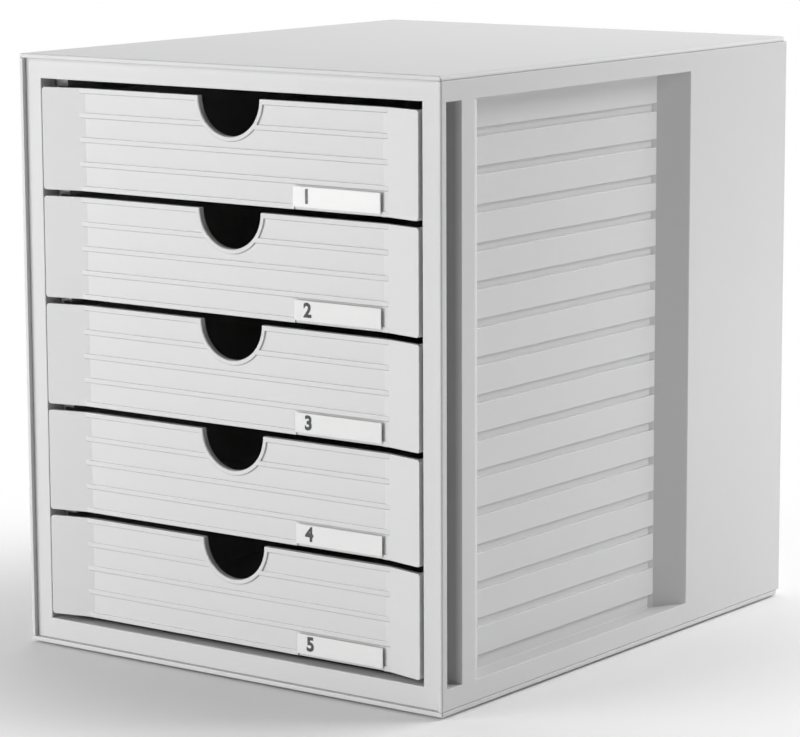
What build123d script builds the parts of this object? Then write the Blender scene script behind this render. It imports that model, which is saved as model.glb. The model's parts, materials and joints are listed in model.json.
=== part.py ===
from build123d import *
import os

os.makedirs("parts", exist_ok=True)

# All sizes are in millimetres. The origin is on the desk, below the middle of the casing.
# +X is to the right as seen from the front, the drawers open towards -Y, and +Z is up.

# Overall size
casing_width = 275.0
casing_depth = 330.0
overall_height = 320.0

# Casing panels
lid_thickness = 2.5
base_thickness = 2.5
side_thickness = 2.5
rear_thickness = 2.2
rear_flange = 8.0
panel_fit = 0.1
front_edge_round = 1.0
rear_edge_round = 4.0
lid_side_round = 2.2
rim_round = 0.8
seam_round = 0.8
rear_field_margin = 16.0
rear_field_depth = 0.8
rear_field_round = 10.0

# Feet
foot_diameter = 12.0
foot_proud = 1.2
foot_seat_depth = 1.0
foot_seat_fit = 0.2
foot_inset = 22.0
foot_edge_round = 0.5

# Front frame round the drawer opening
frame_setback = 2.4
frame_plate = 1.8
frame_side_border = 13.1
frame_top_border = 13.0
frame_base_border = 13.8
frame_flange_wall = 1.8
frame_flange_depth = 11.5
frame_edge_round = 0.5

# Grip recess in each side, measured back from the front lip
recess_start = 27.4
recess_end = 229.0
recess_depth = 11.5
recess_front_round = 8.0
recess_rear_run = 21.3
recess_wall = 2.0

# Horizontal lands in the recess
land_count = 15
land_proud = 1.5
top_land_height = 16.1
groove_height = 4.4
bottom_groove_height = 7.5
land_corner_round = 1.2
land_root = 1.4

# Narrow slot in each side, just behind the front frame
slot_end = 17.1
slot_depth = 9.1
slot_rear_run = 5.8
slot_wall = 1.8

# Drawers
drawer_count = 5
drawer_gap = 3.4
drawer_top_gap = 4.4
drawer_base_gap = 3.0
drawer_side_gap = 1.6
drawer_travel = 235.0

# Drawer fronts
front_setback = 1.4
front_wall = 2.4
wing_width = 21.7
wing_sweep = 4.8
return_depth = 10.0
return_wall = 1.8
front_corner_round = 1.6
rib_count = 5
rib_height = 2.6
rib_proud = 0.8
notch_radius = 20.0
notch_rim = 2.4
notch_edge_round = 0.8

# Drawer trays
tray_wall = 1.8
tray_floor = 1.8
tray_lift = 0.5
tray_height = 49.5
tray_side_gap = 2.7
tray_rear_gap = 7.0
tray_corner_round = 6.0
tray_floor_round = 2.0

# Runner racks and drawer stops
rack_wall = 1.8
rack_front_gap = 0.3
ledge_width = 6.2
ledge_height = 4.0
slide_gap = 0.3
stop_gap = 0.3
rear_stop_length = 2.5
rear_stop_height = 6.0
catch_length = 4.0
catch_height = 10.0
catch_rise = 12.0
catch_running_gap = 0.9
tray_catch_margin = 7.0

# Label channels and cards
label_width = 54.8
label_height = 12.1
label_side_margin = 4.3
label_base_margin = 0.7
holder_depth = 2.6
holder_wall = 0.8
holder_edge_round = 0.25
card_thickness = 0.3
card_fit = 0.1
label_seat_fit = 0.1

# Places worked out from the sizes above
half_width = casing_width / 2
front_y = -casing_depth / 2
back_y = casing_depth / 2
base_low = foot_proud
base_top = base_low + base_thickness
lid_low = overall_height - lid_thickness
side_inner_x = half_width - side_thickness
rear_outer_y = back_y - side_thickness
rear_inner_y = rear_outer_y - rear_thickness

opening_low = base_low + frame_base_border
opening_high = overall_height - frame_top_border
opening_height = opening_high - opening_low
opening_half = half_width - frame_side_border
frame_face_y = front_y + frame_setback
frame_plate_back_y = frame_face_y + frame_plate
frame_flange_back_y = frame_face_y + frame_flange_depth

recess_start_y = front_y + recess_start
recess_end_y = front_y + recess_end
recess_floor_x = half_width - recess_depth
recess_back_x = recess_floor_x - recess_wall
recess_rear_slope = recess_rear_run / recess_depth
land_pitch = (opening_height - top_land_height - bottom_groove_height) / (land_count - 1)

slot_start_y = frame_plate_back_y
slot_end_y = front_y + slot_end
slot_floor_x = half_width - slot_depth

all_gaps = drawer_top_gap + drawer_base_gap + (drawer_count - 1) * drawer_gap
front_height = (opening_height - all_gaps) / drawer_count
drawer_pitch = front_height + drawer_gap
top_drawer_low = opening_high - drawer_top_gap - front_height

front_half = opening_half - drawer_side_gap
wing_tip_y = front_y + front_setback
rib_face_y = wing_tip_y + wing_sweep
front_face_y = rib_face_y + rib_proud
wing_slope = wing_sweep / wing_width
bend_half = front_half - wing_width
flat_half = bend_half - rib_proud / wing_slope
return_end_y = wing_tip_y + return_depth
rib_pitch = (front_height - rib_height) / (rib_count - 1)

rack_face_x = recess_back_x - rack_wall
rack_front_y = frame_flange_back_y + rack_front_gap
ledge_inner_x = rack_face_x - ledge_width
tray_half = rack_face_x - tray_side_gap
tray_rear_y = rear_inner_y - tray_rear_gap
ledge_drop = tray_lift - slide_gap
tray_catch_front_y = tray_rear_y - tray_catch_margin - catch_length
rack_catch_back_y = tray_catch_front_y - drawer_travel - stop_gap
tray_catch_proud = tray_side_gap - catch_running_gap
rack_catch_proud = tray_side_gap - catch_running_gap

label_right_x = bend_half - label_side_margin
label_x = label_right_x - label_width / 2
label_z = label_base_margin + label_height / 2
holder_face_y = front_face_y - holder_depth


def wing_y(x):
    """The depth of a drawer front's outer face at a distance x from its middle."""
    return front_face_y - max(0.0, abs(x) - flat_half) * wing_slope


def spread(value):
    """The same distance to the left and to the right."""
    return (-value, value)


# Lid, lapping over the side panels, with its long edges well rounded
with BuildPart() as top_panel:
    with BuildSketch(Plane.XY.offset(lid_low)) as lid_plan:
        Rectangle(casing_width, casing_depth)
        fillet(lid_plan.vertices().group_by(Axis.Y)[0], radius=front_edge_round)
        fillet(lid_plan.vertices().group_by(Axis.Y)[-1], radius=rear_edge_round)
    extrude(amount=lid_thickness)
    fillet(top_panel.faces().sort_by(Axis.Z)[-1].edges(), radius=rim_round)
    with BuildSketch(Plane.XZ.offset(-front_y)) as lid_section:
        with Locations((0, lid_low + lid_thickness / 2)):
            Rectangle(casing_width, lid_thickness)
        fillet(lid_section.vertices().group_by(Axis.Y)[-1], radius=lid_side_round)
    extrude(amount=-casing_depth, mode=Mode.INTERSECT)
top_panel.part.label = "top_panel"
export_step(top_panel.part, "parts/top_panel.step")


# Floor of the casing, with a round seat for each foot
foot_x = half_width - foot_inset
foot_y = back_y - foot_inset
with BuildPart() as bottom_panel:
    with BuildSketch(Plane.XY.offset(base_low)) as base_plan:
        Rectangle(casing_width, casing_depth)
        fillet(base_plan.vertices().group_by(Axis.Y)[0], radius=front_edge_round)
        fillet(base_plan.vertices().group_by(Axis.Y)[-1], radius=rear_edge_round)
    extrude(amount=base_thickness)
    fillet(bottom_panel.faces().sort_by(Axis.Z)[0].edges(), radius=rim_round)
    with BuildSketch(Plane.XY.offset(base_low)):
        with Locations(*[(x, y) for x in spread(foot_x) for y in spread(foot_y)]):
            Circle(foot_diameter / 2 + foot_seat_fit)
    extrude(amount=foot_seat_depth, mode=Mode.SUBTRACT)
bottom_panel.part.label = "bottom_panel"
export_step(bottom_panel.part, "parts/bottom_panel.step")


# Rubber feet
for end, y in (("front", -foot_y), ("rear", foot_y)):
    for side, x in (("left", -foot_x), ("right", foot_x)):
        with BuildPart() as foot:
            with BuildSketch(Plane.XY):
                with Locations((x, y)):
                    Circle(foot_diameter / 2)
            extrude(amount=foot_proud + foot_seat_depth)
            fillet(foot.edges().sort_by(Axis.Z)[0], radius=foot_edge_round)
        foot.part.label = f"foot_{end}_{side}"
        export_step(foot.part, f"parts/foot_{end}_{side}.step")


# Plan of the grip recess, open to the outside of the right panel
outside_x = half_width + 2 * side_thickness
with BuildSketch() as recess_plan:
    with BuildLine():
        mouth = Line((outside_x, recess_start_y), (half_width, recess_start_y))
        bend = JernArc(mouth @ 1, (0, 1), recess_front_round, 90)
        Polyline(
            bend @ 1,
            (recess_floor_x, recess_start_y + recess_front_round),
            (recess_floor_x, recess_end_y - recess_rear_run),
            (half_width, recess_end_y),
            (outside_x, recess_end_y),
            (outside_x, recess_start_y),
        )
    make_face()

# Plan of the slot, closed towards the front by the frame
with BuildSketch() as slot_plan:
    with BuildLine():
        Polyline(
            (outside_x, slot_start_y),
            (slot_floor_x, slot_start_y),
            (slot_floor_x, slot_end_y - slot_rear_run),
            (half_width, slot_end_y),
            (outside_x, slot_end_y),
            close=True,
        )
    make_face()


# Right side panel: a skin with two pockets pressed into it
with BuildPart() as right_side_panel:
    with BuildSketch(Plane.XY.offset(base_top)) as skin_plan:
        with BuildLine():
            Polyline(
                (half_width, front_y),
                (half_width, back_y),
                (half_width - rear_flange, back_y),
                (half_width - rear_flange, rear_outer_y),
                (side_inner_x, rear_outer_y),
                (side_inner_x, front_y),
                close=True,
            )
        make_face()
        skin_corners = skin_plan.vertices().group_by(Axis.X)[-1].sort_by(Axis.Y)
        fillet(skin_corners[0], radius=front_edge_round)
        fillet(skin_corners[-1], radius=rear_edge_round)
        inner_corner = skin_plan.vertices().sort_by_distance((side_inner_x, rear_outer_y))[0]
        fillet(inner_corner, radius=rear_edge_round - side_thickness)
    extrude(amount=lid_low - base_top)
    outer_face = right_side_panel.faces().filter_by(Axis.X).sort_by(Axis.X)[-1]
    fillet(outer_face.edges().filter_by(Axis.Y), radius=seam_round)
    for plan, wall in ((recess_plan, recess_wall), (slot_plan, slot_wall)):
        with BuildSketch(Plane.XY.offset(opening_low - wall)):
            offset(plan.sketch, amount=wall, kind=Kind.INTERSECTION)
            with Locations((half_width, 0)):
                Rectangle(casing_width, casing_depth, align=(Align.MIN, Align.CENTER), mode=Mode.SUBTRACT)
            with Locations((0, slot_start_y)):
                Rectangle(2 * casing_width, casing_depth, align=(Align.CENTER, Align.MAX), mode=Mode.SUBTRACT)
        extrude(amount=opening_height + 2 * wall)
    for plan in (recess_plan, slot_plan):
        with BuildSketch(Plane.XY.offset(opening_low)):
            add(plan.sketch)
        extrude(amount=opening_height, mode=Mode.SUBTRACT)
    land_start_y = recess_start_y + recess_front_round - land_root
    land_end_y = recess_end_y - recess_rear_run + land_proud * recess_rear_slope
    for index in range(land_count):
        land_low = opening_high - top_land_height - index * land_pitch
        land_high = land_low + land_pitch - groove_height if index else opening_high + land_root
        with BuildSketch(Plane.YZ.offset(recess_floor_x - land_root)):
            with Locations(((land_start_y + land_end_y) / 2, (land_low + land_high) / 2)):
                RectangleRounded(land_end_y - land_start_y, land_high - land_low, land_corner_round)
        extrude(amount=land_proud + land_root)
right_side_panel.part.label = "right_side_panel"
export_step(right_side_panel.part, "parts/right_side_panel.step")

with BuildPart() as left_side_panel:
    mirror(right_side_panel.part, about=Plane.YZ)
left_side_panel.part.label = "left_side_panel"
export_step(left_side_panel.part, "parts/left_side_panel.step")


# Rear panel, held in front of the side panels' flanges
rear_width = 2 * (side_inner_x - panel_fit) - 2 * (rear_edge_round - side_thickness)
rear_height = lid_low - base_top - 2 * panel_fit
rear_mid_z = (lid_low + base_top) / 2
with BuildPart() as rear_panel:
    with BuildSketch(Plane.XZ.offset(-rear_outer_y)):
        with Locations((0, rear_mid_z)):
            Rectangle(rear_width, rear_height)
    extrude(amount=rear_thickness)
    with BuildSketch(Plane.XZ.offset(-rear_outer_y)):
        with Locations((0, rear_mid_z)):
            field_width = rear_width - 2 * (rear_field_margin + rear_flange)
            field_height = rear_height - 2 * rear_field_margin
            RectangleRounded(field_width, field_height, rear_field_round)
    extrude(amount=rear_field_depth, mode=Mode.SUBTRACT)
rear_panel.part.label = "rear_panel"
export_step(rear_panel.part, "parts/rear_panel.step")


# Front frame: a plate behind the lips, with a flange round the drawer opening
frame_half = side_inner_x - panel_fit
frame_low = base_top + panel_fit
frame_high = lid_low - panel_fit
opening_mid_z = (opening_low + opening_high) / 2
with BuildPart() as front_frame:
    with BuildSketch(Plane.XZ.offset(-frame_face_y)):
        with Locations((0, (frame_low + frame_high) / 2)):
            Rectangle(2 * frame_half, frame_high - frame_low)
    extrude(amount=-frame_plate)
    with BuildSketch(Plane.XZ.offset(-frame_face_y)):
        with Locations((0, opening_mid_z)):
            flange_width = 2 * (opening_half + frame_flange_wall)
            flange_height = opening_height + 2 * frame_flange_wall
            Rectangle(flange_width, flange_height)
    extrude(amount=-frame_flange_depth)
    with BuildSketch(Plane.XZ.offset(-frame_face_y)):
        with Locations((0, opening_mid_z)):
            Rectangle(2 * opening_half, opening_height)
    extrude(amount=-frame_flange_depth, mode=Mode.SUBTRACT)
    frame_face = front_frame.faces().filter_by(Axis.Y).sort_by(Axis.Y)[0]
    fillet(frame_face.inner_wires()[0].edges(), radius=frame_edge_round)
front_frame.part.label = "front_frame"
export_step(front_frame.part, "parts/front_frame.step")


# Right runner rack: a liner plate with a ledge below each drawer and a guide above the top one
def drawer_low(number):
    """Height of the lower edge of a drawer's front, counted from 1 at the top."""
    return top_drawer_low - (number - 1) * drawer_pitch


with BuildPart() as right_runner_rack:
    with BuildSketch(Plane.XY.offset(base_top)):
        with Locations((rack_face_x, rack_front_y)):
            Rectangle(rack_wall, rear_inner_y - rack_front_y, align=(Align.MIN, Align.MIN))
    extrude(amount=lid_low - base_top)
    for number in range(drawer_count + 1):
        ledge_top = drawer_low(number) + ledge_drop
        with BuildSketch(Plane.XY.offset(ledge_top - ledge_height)):
            with Locations((ledge_inner_x, rack_front_y)):
                Rectangle(ledge_width, rear_inner_y - rack_front_y, align=(Align.MIN, Align.MIN))
        extrude(amount=ledge_height)
    for number in range(1, drawer_count + 1):
        ledge_top = drawer_low(number) + ledge_drop
        with BuildSketch(Plane.XY.offset(ledge_top)):
            with Locations((ledge_inner_x, tray_rear_y + stop_gap)):
                Rectangle(ledge_width, rear_stop_length, align=(Align.MIN, Align.MIN))
        extrude(amount=rear_stop_height)
        with BuildSketch(Plane.XY.offset(drawer_low(number) + tray_lift + catch_rise)):
            with Locations((rack_face_x, rack_catch_back_y)):
                Rectangle(2 * rack_catch_proud, catch_length, align=(Align.CENTER, Align.MAX))
        extrude(amount=catch_height)
right_runner_rack.part.label = "right_runner_rack"
export_step(right_runner_rack.part, "parts/right_runner_rack.step")

with BuildPart() as left_runner_rack:
    mirror(right_runner_rack.part, about=Plane.YZ)
left_runner_rack.part.label = "left_runner_rack"
export_step(left_runner_rack.part, "parts/left_runner_rack.step")


def tray_plan(side_x, wall_offset, rear_y, corner_round):
    """Plan of the tray or of its inside: behind the swept front, with rounded rear corners."""
    with BuildSketch() as plan:
        with BuildLine():
            Polyline(
                (0, front_face_y + wall_offset),
                (flat_half, front_face_y + wall_offset),
                (side_x, wing_y(side_x) + wall_offset),
                (side_x, rear_y),
                (0, rear_y),
                close=True,
            )
        make_face()
        rear_corner = plan.vertices().sort_by_distance((side_x, rear_y))[0]
        fillet(rear_corner, radius=corner_round)
        mirror(about=Plane.YZ)
    return plan.sketch


# One drawer with its front's lower edge at z = 0: the front and the tray are one moulding
with BuildPart() as drawer:
    with BuildSketch(Plane.XY):
        with BuildLine():
            inner_x = front_half - return_wall
            Polyline(
                (0, front_face_y),
                (flat_half, front_face_y),
                (front_half, wing_tip_y),
                (front_half, return_end_y),
                (inner_x, return_end_y),
                (inner_x, wing_y(inner_x) + front_wall),
                (flat_half, front_face_y + front_wall),
                (0, front_face_y + front_wall),
                close=True,
            )
        make_face()
        mirror(about=Plane.YZ)
    extrude(amount=front_height)
    outer_edges = drawer.edges().filter_by(Axis.Y)
    fillet(outer_edges.group_by(Axis.X)[0] + outer_edges.group_by(Axis.X)[-1], radius=front_corner_round)

    # Raised bands and the raised rim round the finger notch
    with BuildSketch(Plane.XZ.offset(-front_face_y)):
        for index in range(rib_count):
            with Locations((0, front_height - rib_height / 2 - index * rib_pitch)):
                SlotOverall(2 * bend_half, rib_height)
        with Locations((0, front_height)):
            Circle(notch_radius + notch_rim)
            Rectangle(4 * notch_radius, 2 * notch_radius, align=(Align.CENTER, Align.MIN), mode=Mode.SUBTRACT)
    extrude(amount=rib_proud)

    # Seat for the label channel across the lowest band
    with BuildSketch(Plane.XZ.offset(-front_face_y)):
        with Locations((label_x, 0)):
            seat_width = label_width + 2 * label_seat_fit
            Rectangle(seat_width, label_base_margin + label_height, align=(Align.CENTER, Align.MIN))
    extrude(amount=rib_proud, mode=Mode.SUBTRACT)

    # Tray behind the front
    with BuildSketch(Plane.XY.offset(tray_lift)):
        add(tray_plan(tray_half, front_wall / 2, tray_rear_y, tray_corner_round))
    extrude(amount=tray_height)
    inside_x = tray_half - tray_wall
    inside_rear_y = tray_rear_y - tray_wall
    with BuildSketch(Plane.XY.offset(tray_lift + tray_floor)):
        add(tray_plan(inside_x, front_wall, inside_rear_y, tray_corner_round - tray_wall))
    extrude(amount=tray_height, mode=Mode.SUBTRACT)

    floor_z = tray_lift + tray_floor
    floor_edges = drawer.edges().filter_by_position(Axis.Z, floor_z, floor_z)
    fillet(floor_edges.filter_by_position(Axis.Y, return_end_y, tray_rear_y), radius=tray_floor_round)

    # Catches on the tray that meet those on the racks at full travel
    with BuildSketch(Plane.XY.offset(tray_lift + catch_rise)):
        for x in spread(tray_half - tray_wall / 2):
            with Locations((x, tray_catch_front_y)):
                catch_width = tray_wall + 2 * tray_catch_proud
                Rectangle(catch_width, catch_length, align=(Align.CENTER, Align.MIN))
        Rectangle(2 * (tray_half - tray_wall / 2), casing_depth, mode=Mode.SUBTRACT)
    extrude(amount=catch_height)

    # Half round finger notch through the front
    with BuildSketch(Plane.XZ.offset(-rib_face_y)):
        with Locations((0, front_height)):
            Circle(notch_radius)
    extrude(amount=-(rib_proud + front_wall), mode=Mode.SUBTRACT)
    notch_edges = drawer.edges().filter_by(GeomType.CIRCLE).filter_by(lambda edge: edge.radius == notch_radius)
    fillet(notch_edges.sort_by(Axis.Y)[0], radius=notch_edge_round)


# Label channel: a clear window on two rails, open at both ends
with BuildPart() as label_holder:
    with BuildSketch(Plane.XZ.offset(-front_face_y)):
        with Locations((label_x, label_z)):
            Rectangle(label_width, label_height)
    extrude(amount=holder_depth)
    holder_face = label_holder.faces().filter_by(Axis.Y).sort_by(Axis.Y)[0]
    fillet(holder_face.edges(), radius=holder_edge_round)
    with BuildSketch(Plane.XZ.offset(-front_face_y)):
        with Locations((label_x, label_z)):
            Rectangle(2 * label_width, label_height - 2 * holder_wall)
    extrude(amount=holder_depth - holder_wall, mode=Mode.SUBTRACT)

# Paper card that lies against the back of the window
with BuildPart() as label_card:
    with BuildSketch(Plane.XZ.offset(-(holder_face_y + holder_wall + card_fit))):
        with Locations((label_x, label_z)):
            card_height = label_height - 2 * (holder_wall + card_fit)
            Rectangle(label_width - 2 * card_fit, card_height)
    extrude(amount=-card_thickness)


for number in range(1, drawer_count + 1):
    place = Location((0, 0, drawer_low(number)))
    for name, piece in (("drawer", drawer), ("label_holder", label_holder), ("label_card", label_card)):
        copy = piece.part.moved(place)
        copy.label = f"{name}_{number}"
        export_step(copy, f"parts/{name}_{number}.step")
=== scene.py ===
import json
import math

import bpy
from mathutils import Matrix, Vector


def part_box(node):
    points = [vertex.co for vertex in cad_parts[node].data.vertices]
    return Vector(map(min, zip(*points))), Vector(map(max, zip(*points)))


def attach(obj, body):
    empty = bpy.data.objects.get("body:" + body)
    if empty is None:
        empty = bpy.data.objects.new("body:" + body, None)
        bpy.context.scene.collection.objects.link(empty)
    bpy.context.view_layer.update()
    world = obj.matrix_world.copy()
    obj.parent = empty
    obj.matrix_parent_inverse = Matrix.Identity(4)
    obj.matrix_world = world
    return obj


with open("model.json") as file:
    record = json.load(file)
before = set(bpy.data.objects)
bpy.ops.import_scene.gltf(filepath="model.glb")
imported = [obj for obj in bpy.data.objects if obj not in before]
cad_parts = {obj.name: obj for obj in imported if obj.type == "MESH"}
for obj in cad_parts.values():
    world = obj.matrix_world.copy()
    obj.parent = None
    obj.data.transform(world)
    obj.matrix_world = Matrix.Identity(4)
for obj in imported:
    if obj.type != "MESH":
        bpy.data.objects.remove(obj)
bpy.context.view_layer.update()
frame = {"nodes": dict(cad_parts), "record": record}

MM = 0.001
MIDDLE = Vector((0, 0, 0.16))
DRAWER_COUNT = 5

# Camera, at the place that the photograph was taken from
CAMERA_PLACE = (1.0866, -1.4812, 0.4505)
CAMERA_AZIMUTH = 36.51
CAMERA_DOWN = 9.55
CAMERA_ROLL = -0.24
CAMERA_LENS = 151.84
CAMERA_SENSOR = 36
CAMERA_NEAR = 0.05
CAMERA_FAR = 50

# Colours, in linear light
CASING_GREY = (0.63, 0.63, 0.632)
DRAWER_GREY = (0.635, 0.635, 0.637)
CARD_WHITE = (0.80, 0.80, 0.795)
PRINT_BLACK = (0.015, 0.015, 0.017)
CLEAR_TINT = (0.92, 0.93, 0.93)
RUBBER_GREY = (0.035, 0.035, 0.037)

# Finish of the moulded plastic
PLASTIC_ROUGHNESS = 0.54
ROUGHNESS_SPREAD = 0.04
PLASTIC_IOR = 1.5
GRAIN_SIZE = 0.5 * MM
GRAIN_DEPTH = 0.010 * MM
GRAIN_STRENGTH = 0.6
FLOW_SIZE = 90 * MM
CLOUD_SIZE = FLOW_SIZE / 12

# Its edges: soft and a little polished, with a painted highlight along every edge, and a painted
# highlight where an edge turns up and painted shade where it turns down
EDGE_SOFTNESS = 0.55 * MM
EDGE_TURN = 0.75
EDGE_POLISH = 0.10
EDGE_PAINTED_HIGHLIGHT = 1.05
EDGE_LIFT = 0.7
EDGE_PAINTED_CONTRAST = 0.5

# Hollows of the side panels, which get painted shade inside: the slots and the grip recess's rear
# wall
SIDE_FACE = 137.5 * MM
HOLLOW_LOW = 15.3 * MM
HOLLOW_HIGH = 306.7 * MM
HOLLOW_MARGIN = 0.2 * MM
SLOT_START = -160.5 * MM
SLOT_END = -147.9 * MM
SLOT_DEPTH = 9.1 * MM
SLOT_RAMP = 3.0 * MM
SLOT_PAINTED_SHADE = 0.45
GRIP_WALL_START = 42.7 * MM
GRIP_WALL_END = 64.0 * MM
GRIP_WALL_DEPTH = 9.7 * MM
GRIP_WALL_RAMP = 0.5 * MM
GRIP_WALL_PAINTED_SHADE = 0.82

# Clear windows of the label holders
CLEAR_IOR = 1.49
CLEAR_ALPHA = 0.05
HAZE_SIZE = 6 * MM

# Label cards, with fibres that lie along them
FIBRE_SIZE = 0.8 * MM
FIBRE_DEPTH = 0.02 * MM
FIBRE_STRETCH = (1.0, 1.0, 2.6)
CARD_CLOUD_SIZE = 9 * MM

# Numbers on the label cards
NUMBER_HEIGHT = 10.0 * MM
NUMBER_INSET = 6.0 * MM
NUMBER_WEIGHT = 0.42 * MM
PRINT_THICKNESS = 0.02 * MM
PRINT_GLOSS = 0.15
SPECKLE_SIZE = 0.5 * MM

# Rubber of the feet
PEBBLE_SIZE = 0.7 * MM
PEBBLE_DEPTH = 0.05 * MM

# Floor and surroundings
FLOOR_REACH = 6.0
FLOOR_PALE = (0.94, 0.94, 0.94, 1)
FLOOR_WHITE = (1, 1, 1, 1)
SHADOW_NEAR = 0.16
SHADOW_FAR = 0.45
AMBIENT = 0.06

scene = bpy.context.scene
scene.view_settings.view_transform = "Standard"


class Nodes:
    """The node tree of a material or world, with short calls that add and link its nodes."""

    def __init__(self, owner):
        owner.use_nodes = True
        self.owner = owner
        self.tree = owner.node_tree
        self.tree.nodes.clear()

    def add(self, kind, inputs=None, **settings):
        node = self.tree.nodes.new(kind)
        for key, value in settings.items():
            setattr(node, key, value)
        for key, value in (inputs or {}).items():
            if isinstance(value, bpy.types.NodeSocket):
                self.tree.links.new(value, node.inputs[key])
            else:
                node.inputs[key].default_value = value
        return node

    def place(self):
        """Coordinates of the object itself, which move with it."""
        return self.add("ShaderNodeTexCoord").outputs["Object"]

    def noise(self, place, size, detail, roughness=0.5):
        """Noise with features of about that size, in metres."""
        inputs = {"Vector": place, "Scale": 1 / size, "Detail": detail, "Roughness": roughness}
        return self.add("ShaderNodeTexNoise", inputs).outputs["Fac"]

    def calc(self, operation, *values):
        """The result of one arithmetic operation on the values."""
        return self.add("ShaderNodeMath", dict(enumerate(values)), operation=operation).outputs[0]

    def remap(self, value, low, high, start=0.0, end=1.0, **settings):
        """A value from start to end, spread over the range from low to high."""
        inputs = {"Value": value, "From Min": start, "From Max": end, "To Min": low, "To Max": high}
        return self.add("ShaderNodeMapRange", inputs, **settings).outputs["Result"]

    def scaled(self, colour, factor):
        """The colour, made darker or lighter by the factor."""
        inputs = {0: colour, "Scale": factor}
        return self.add("ShaderNodeVectorMath", inputs, operation="SCALE").outputs["Vector"]

    def rise(self, normal):
        """How far the normal points up, from -1 to 1."""
        return self.add("ShaderNodeSeparateXYZ", {"Vector": normal}).outputs["Z"]

    def finish(self, surface):
        """The material, with that surface."""
        self.add("ShaderNodeOutputMaterial", {"Surface": surface})
        return self.owner

    def principled(self, inputs):
        """The material, with a principled surface."""
        return self.finish(self.add("ShaderNodeBsdfPrincipled", inputs).outputs["BSDF"])


def new_material(name):
    return Nodes(bpy.data.materials.new(name))


def within(nodes, value, low, high):
    """1 where the value lies between low and high, else 0."""
    return nodes.calc("COMPARE", value, (low + high) / 2, (high - low) / 2)


def hollow_scale(nodes, start, end, depth, ramp, dark):
    """Painted shade for a side panel's hollow: a colour scale that is 1 at the face, and dark from
    a ramp's length in.
    """
    spot = nodes.add("ShaderNodeNewGeometry").outputs["Position"]
    parts = nodes.add("ShaderNodeSeparateXYZ", {"Vector": spot}).outputs
    across = nodes.calc("ABSOLUTE", parts["X"])
    shade = nodes.remap(across, 0.0, 1.0, start=SIDE_FACE, end=SIDE_FACE - ramp)
    windows = (
        within(nodes, across, SIDE_FACE - depth - HOLLOW_MARGIN, SIDE_FACE),
        within(nodes, parts["Y"], start - HOLLOW_MARGIN, end),
        within(nodes, parts["Z"], HOLLOW_LOW - HOLLOW_MARGIN, HOLLOW_HIGH + HOLLOW_MARGIN),
    )
    for window in windows:
        shade = nodes.calc("MULTIPLY", shade, window)
    return nodes.remap(shade, 1.0, dark)


def moulded_plastic(name, colour):
    """Satin moulded plastic with fine grain, faint flow marks and soft edges."""
    nodes = new_material(name)
    place = nodes.place()
    flow = nodes.noise(place, FLOW_SIZE, detail=3.0)
    cloud = nodes.noise(place, CLOUD_SIZE, detail=4.0, roughness=0.6)
    grain = nodes.noise(place, GRAIN_SIZE, detail=2.0)

    soft = nodes.add("ShaderNodeBevel", {"Radius": EDGE_SOFTNESS}, samples=6).outputs["Normal"]
    flat = nodes.add("ShaderNodeNewGeometry").outputs["Normal"]
    facing = nodes.add("ShaderNodeVectorMath", {0: soft, 1: flat}, operation="DOT_PRODUCT")
    edge = nodes.remap(facing.outputs["Value"], 0.0, 1.0, start=1.0, end=EDGE_TURN)
    lift = nodes.calc("SUBTRACT", nodes.rise(soft), nodes.rise(flat))

    scales = (
        nodes.remap(flow, 0.985, 1.015),
        nodes.remap(cloud, 0.992, 1.008),
        # painted highlight: every edge a little lighter
        nodes.remap(edge, 1.0, EDGE_PAINTED_HIGHLIGHT),
        # painted highlight on edges that turn up, painted shade on edges that turn down
        nodes.remap(lift, 1 - EDGE_PAINTED_CONTRAST, 1 + EDGE_PAINTED_CONTRAST, start=-EDGE_LIFT, end=EDGE_LIFT),
        # painted shade down the side panels' slots and on the grip recess's rear wall
        hollow_scale(nodes, SLOT_START, SLOT_END, SLOT_DEPTH, SLOT_RAMP, SLOT_PAINTED_SHADE),
        hollow_scale(
            nodes, GRIP_WALL_START, GRIP_WALL_END, GRIP_WALL_DEPTH, GRIP_WALL_RAMP, GRIP_WALL_PAINTED_SHADE
        ),
    )
    for scale in scales:
        colour = nodes.scaled(colour, scale)

    dull = nodes.remap(
        cloud, PLASTIC_ROUGHNESS - ROUGHNESS_SPREAD, PLASTIC_ROUGHNESS + ROUGHNESS_SPREAD
    )
    polish = nodes.calc("MULTIPLY", edge, EDGE_POLISH)
    bump_inputs = {
        "Height": grain,
        "Normal": soft,
        "Strength": GRAIN_STRENGTH,
        "Distance": GRAIN_DEPTH,
    }
    shader_inputs = {
        "Base Color": colour,
        "Roughness": nodes.calc("SUBTRACT", dull, polish),
        "Normal": nodes.add("ShaderNodeBump", bump_inputs).outputs["Normal"],
        "IOR": PLASTIC_IOR,
    }
    return nodes.principled(shader_inputs)


def clear_plastic(name):
    """Thin clear window, polished, with the faintest haze."""
    nodes = new_material(name)
    haze = nodes.noise(nodes.place(), HAZE_SIZE, detail=3.0)
    shader_inputs = {
        "Base Color": nodes.scaled(CLEAR_TINT, nodes.remap(haze, 0.97, 1.03)),
        "Roughness": nodes.remap(haze, 0.05, 0.12),
        "IOR": CLEAR_IOR,
        "Alpha": CLEAR_ALPHA,
    }
    return nodes.principled(shader_inputs)


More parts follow.
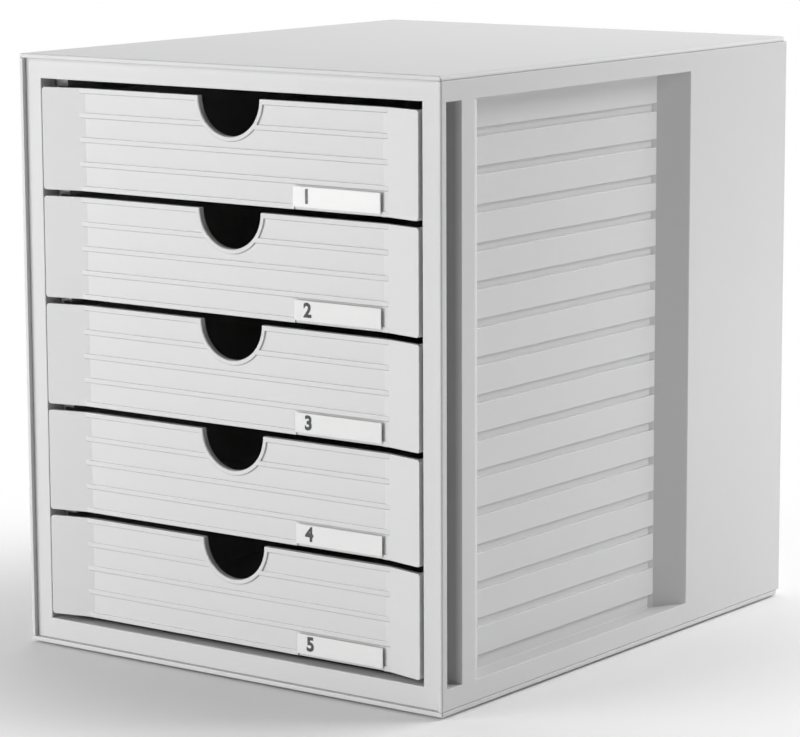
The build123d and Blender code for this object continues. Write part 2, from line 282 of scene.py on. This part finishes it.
def card(name):
    """Uncoated white card with short fibres."""
    nodes = new_material(name)
    place = nodes.place()
    mapping = nodes.add("ShaderNodeMapping", {"Vector": place, "Scale": FIBRE_STRETCH})
    fibre = nodes.noise(mapping.outputs["Vector"], FIBRE_SIZE, detail=5.0, roughness=0.7)
    cloud = nodes.noise(place, CARD_CLOUD_SIZE, detail=3.0)
    bump_inputs = {"Height": fibre, "Strength": 0.4, "Distance": FIBRE_DEPTH}
    shader_inputs = {
        "Base Color": nodes.scaled(CARD_WHITE, nodes.remap(cloud, 0.985, 1.01)),
        "Roughness": nodes.remap(fibre, 0.75, 0.9),
        "Normal": nodes.add("ShaderNodeBump", bump_inputs).outputs["Normal"],
    }
    return nodes.principled(shader_inputs)


def print_ink(name):
    """Matt black print, a little uneven on the card's fibres."""
    nodes = new_material(name)
    speckle = nodes.noise(nodes.place(), SPECKLE_SIZE, detail=3.0)
    shader_inputs = {
        "Base Color": nodes.scaled(PRINT_BLACK, nodes.remap(speckle, 0.8, 1.6)),
        "Roughness": nodes.remap(speckle, 0.75, 0.95),
        "Specular IOR Level": PRINT_GLOSS,
    }
    return nodes.principled(shader_inputs)


def rubber(name):
    """Matt dark rubber with a fine pebbled skin."""
    nodes = new_material(name)
    pebble = nodes.noise(nodes.place(), PEBBLE_SIZE, detail=3.0)
    bump_inputs = {"Height": pebble, "Strength": 0.7, "Distance": PEBBLE_DEPTH}
    shader_inputs = {
        "Base Color": nodes.scaled(RUBBER_GREY, nodes.remap(pebble, 0.8, 1.2)),
        "Roughness": nodes.remap(pebble, 0.7, 0.9),
        "Normal": nodes.add("ShaderNodeBump", bump_inputs).outputs["Normal"],
    }
    return nodes.principled(shader_inputs)


def coat(obj, material):
    """Gives the whole object one material."""
    obj.data.materials.clear()
    obj.data.materials.append(material)


# Each CAD node takes the finish of its material slot
finishes = {
    "casing_plastic": moulded_plastic("casing_plastic", CASING_GREY),
    "drawer_plastic": moulded_plastic("drawer_plastic", DRAWER_GREY),
    "clear_plastic": clear_plastic("clear_plastic"),
    "label_card": card("label_card"),
    "foot_rubber": rubber("foot_rubber"),
}
for row in frame["record"]["subparts"]:
    coat(frame["nodes"][row["node"]], finishes[row["material_slot"]])


# Plain numbers on the label cards
ink = print_ink("number_ink")
for number in range(1, DRAWER_COUNT + 1):
    low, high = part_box(f"label_card_{number}")
    curve = bpy.data.curves.new(f"label_number_{number}", "FONT")
    curve.body = str(number)
    curve.size = NUMBER_HEIGHT
    curve.offset = NUMBER_WEIGHT
    curve.extrude = PRINT_THICKNESS / 2
    curve.align_y = "CENTER"
    curve.materials.append(ink)
    text = bpy.data.objects.new(f"label_number_{number}", curve)
    scene.collection.objects.link(text)
    text.rotation_euler = (math.pi / 2, 0, 0)
    text.location = (low.x + NUMBER_INSET, low.y - PRINT_THICKNESS, (low.z + high.z) / 2)
    bpy.context.view_layer.update()
    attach(text, f"drawer_{number}")


def seen(nodes):
    """1 where the camera looks, also through a gloss or a window, else 0."""
    path = nodes.add("ShaderNodeLightPath").outputs
    direct = nodes.calc("MAXIMUM", path["Is Camera Ray"], path["Is Glossy Ray"])
    return nodes.calc("MAXIMUM", direct, path["Is Transmission Ray"])


def floor_material():
    """White far away, and near the object pale enough to take its shadow."""
    nodes = new_material("floor")
    place = nodes.place()
    distance = nodes.add("ShaderNodeVectorMath", {0: place}, operation="LENGTH").outputs["Value"]
    far = nodes.remap(
        distance, 0.0, 1.0, start=SHADOW_NEAR, end=SHADOW_FAR, interpolation_type="SMOOTHSTEP"
    )
    mix_inputs = {
        0: nodes.calc("MULTIPLY", seen(nodes), far),
        1: nodes.add("ShaderNodeBsdfDiffuse", {"Color": FLOOR_PALE}).outputs["BSDF"],
        2: nodes.add("ShaderNodeEmission", {"Color": FLOOR_WHITE}).outputs["Emission"],
    }
    return nodes.finish(nodes.add("ShaderNodeMixShader", mix_inputs).outputs["Shader"])


floor_corners = [
    (-FLOOR_REACH, -FLOOR_REACH, 0),
    (FLOOR_REACH, -FLOOR_REACH, 0),
    (FLOOR_REACH, FLOOR_REACH, 0),
    (-FLOOR_REACH, FLOOR_REACH, 0),
]
floor_mesh = bpy.data.meshes.new("floor")
floor_mesh.from_pydata(floor_corners, [], [(0, 1, 2, 3)])
floor = bpy.data.objects.new("floor", floor_mesh)
scene.collection.objects.link(floor)
coat(floor, floor_material())

# World: soft even light, and white where it is seen
world = bpy.data.worlds.new("studio")
scene.world = world
sky = Nodes(world)
sky_inputs = {"Strength": sky.remap(seen(sky), AMBIENT, 1.0)}
background = sky.add("ShaderNodeBackground", sky_inputs).outputs["Background"]
sky.add("ShaderNodeOutputWorld", {"Surface": background})


def direction(azimuth, height):
    """Unit vector from the object's middle at that azimuth and height, in degrees."""
    turn = math.radians(azimuth)
    rise = math.radians(height)
    level = math.cos(rise)
    return Vector((math.sin(turn) * level, -math.cos(turn) * level, math.sin(rise)))


def lamp(name, azimuth, height, distance, size, power):
    """A soft lamp, wide and high as its size says, that faces the object's middle."""
    data = bpy.data.lights.new(name, "AREA")
    data.energy = power
    data.shape = "RECTANGLE"
    data.size, data.size_y = size
    place = MIDDLE + distance * direction(azimuth, height)
    lamp_object = bpy.data.objects.new(name, data)
    lamp_object.location = place
    lamp_object.rotation_euler = (MIDDLE - place).to_track_quat("-Z", "Y").to_euler()
    lamp_object.visible_camera = False
    scene.collection.objects.link(lamp_object)


lamp("front", azimuth=-30, height=25, distance=2.2, size=(1.3, 0.9), power=17.4)
lamp("front_low", azimuth=-28, height=-3, distance=1.8, size=(1.4, 0.12), power=14.8)
lamp("side", azimuth=142, height=36, distance=2.0, size=(1.5, 1.2), power=33.5)
lamp("side_low", azimuth=130, height=-9, distance=0.8, size=(0.9, 0.06), power=0.9)
lamp("top", azimuth=-150, height=60, distance=1.4, size=(1.0, 1.0), power=6.6)
lamp("left", azimuth=-104, height=14, distance=1.6, size=(1.0, 0.5), power=2.0)

camera_data = bpy.data.cameras.new("camera")
camera_data.lens = CAMERA_LENS
camera_data.sensor_width = CAMERA_SENSOR
camera_data.clip_start = CAMERA_NEAR
camera_data.clip_end = CAMERA_FAR
camera = bpy.data.objects.new("camera", camera_data)
camera.location = CAMERA_PLACE
camera.rotation_mode = "XYZ"
aim = -direction(CAMERA_AZIMUTH, CAMERA_DOWN)
straight = aim.to_track_quat("-Z", "Y").to_matrix()
rolled = straight @ Matrix.Rotation(math.radians(CAMERA_ROLL), 3, "Z")
camera.rotation_euler = rolled.to_euler()
scene.collection.objects.link(camera)
scene.camera = camera
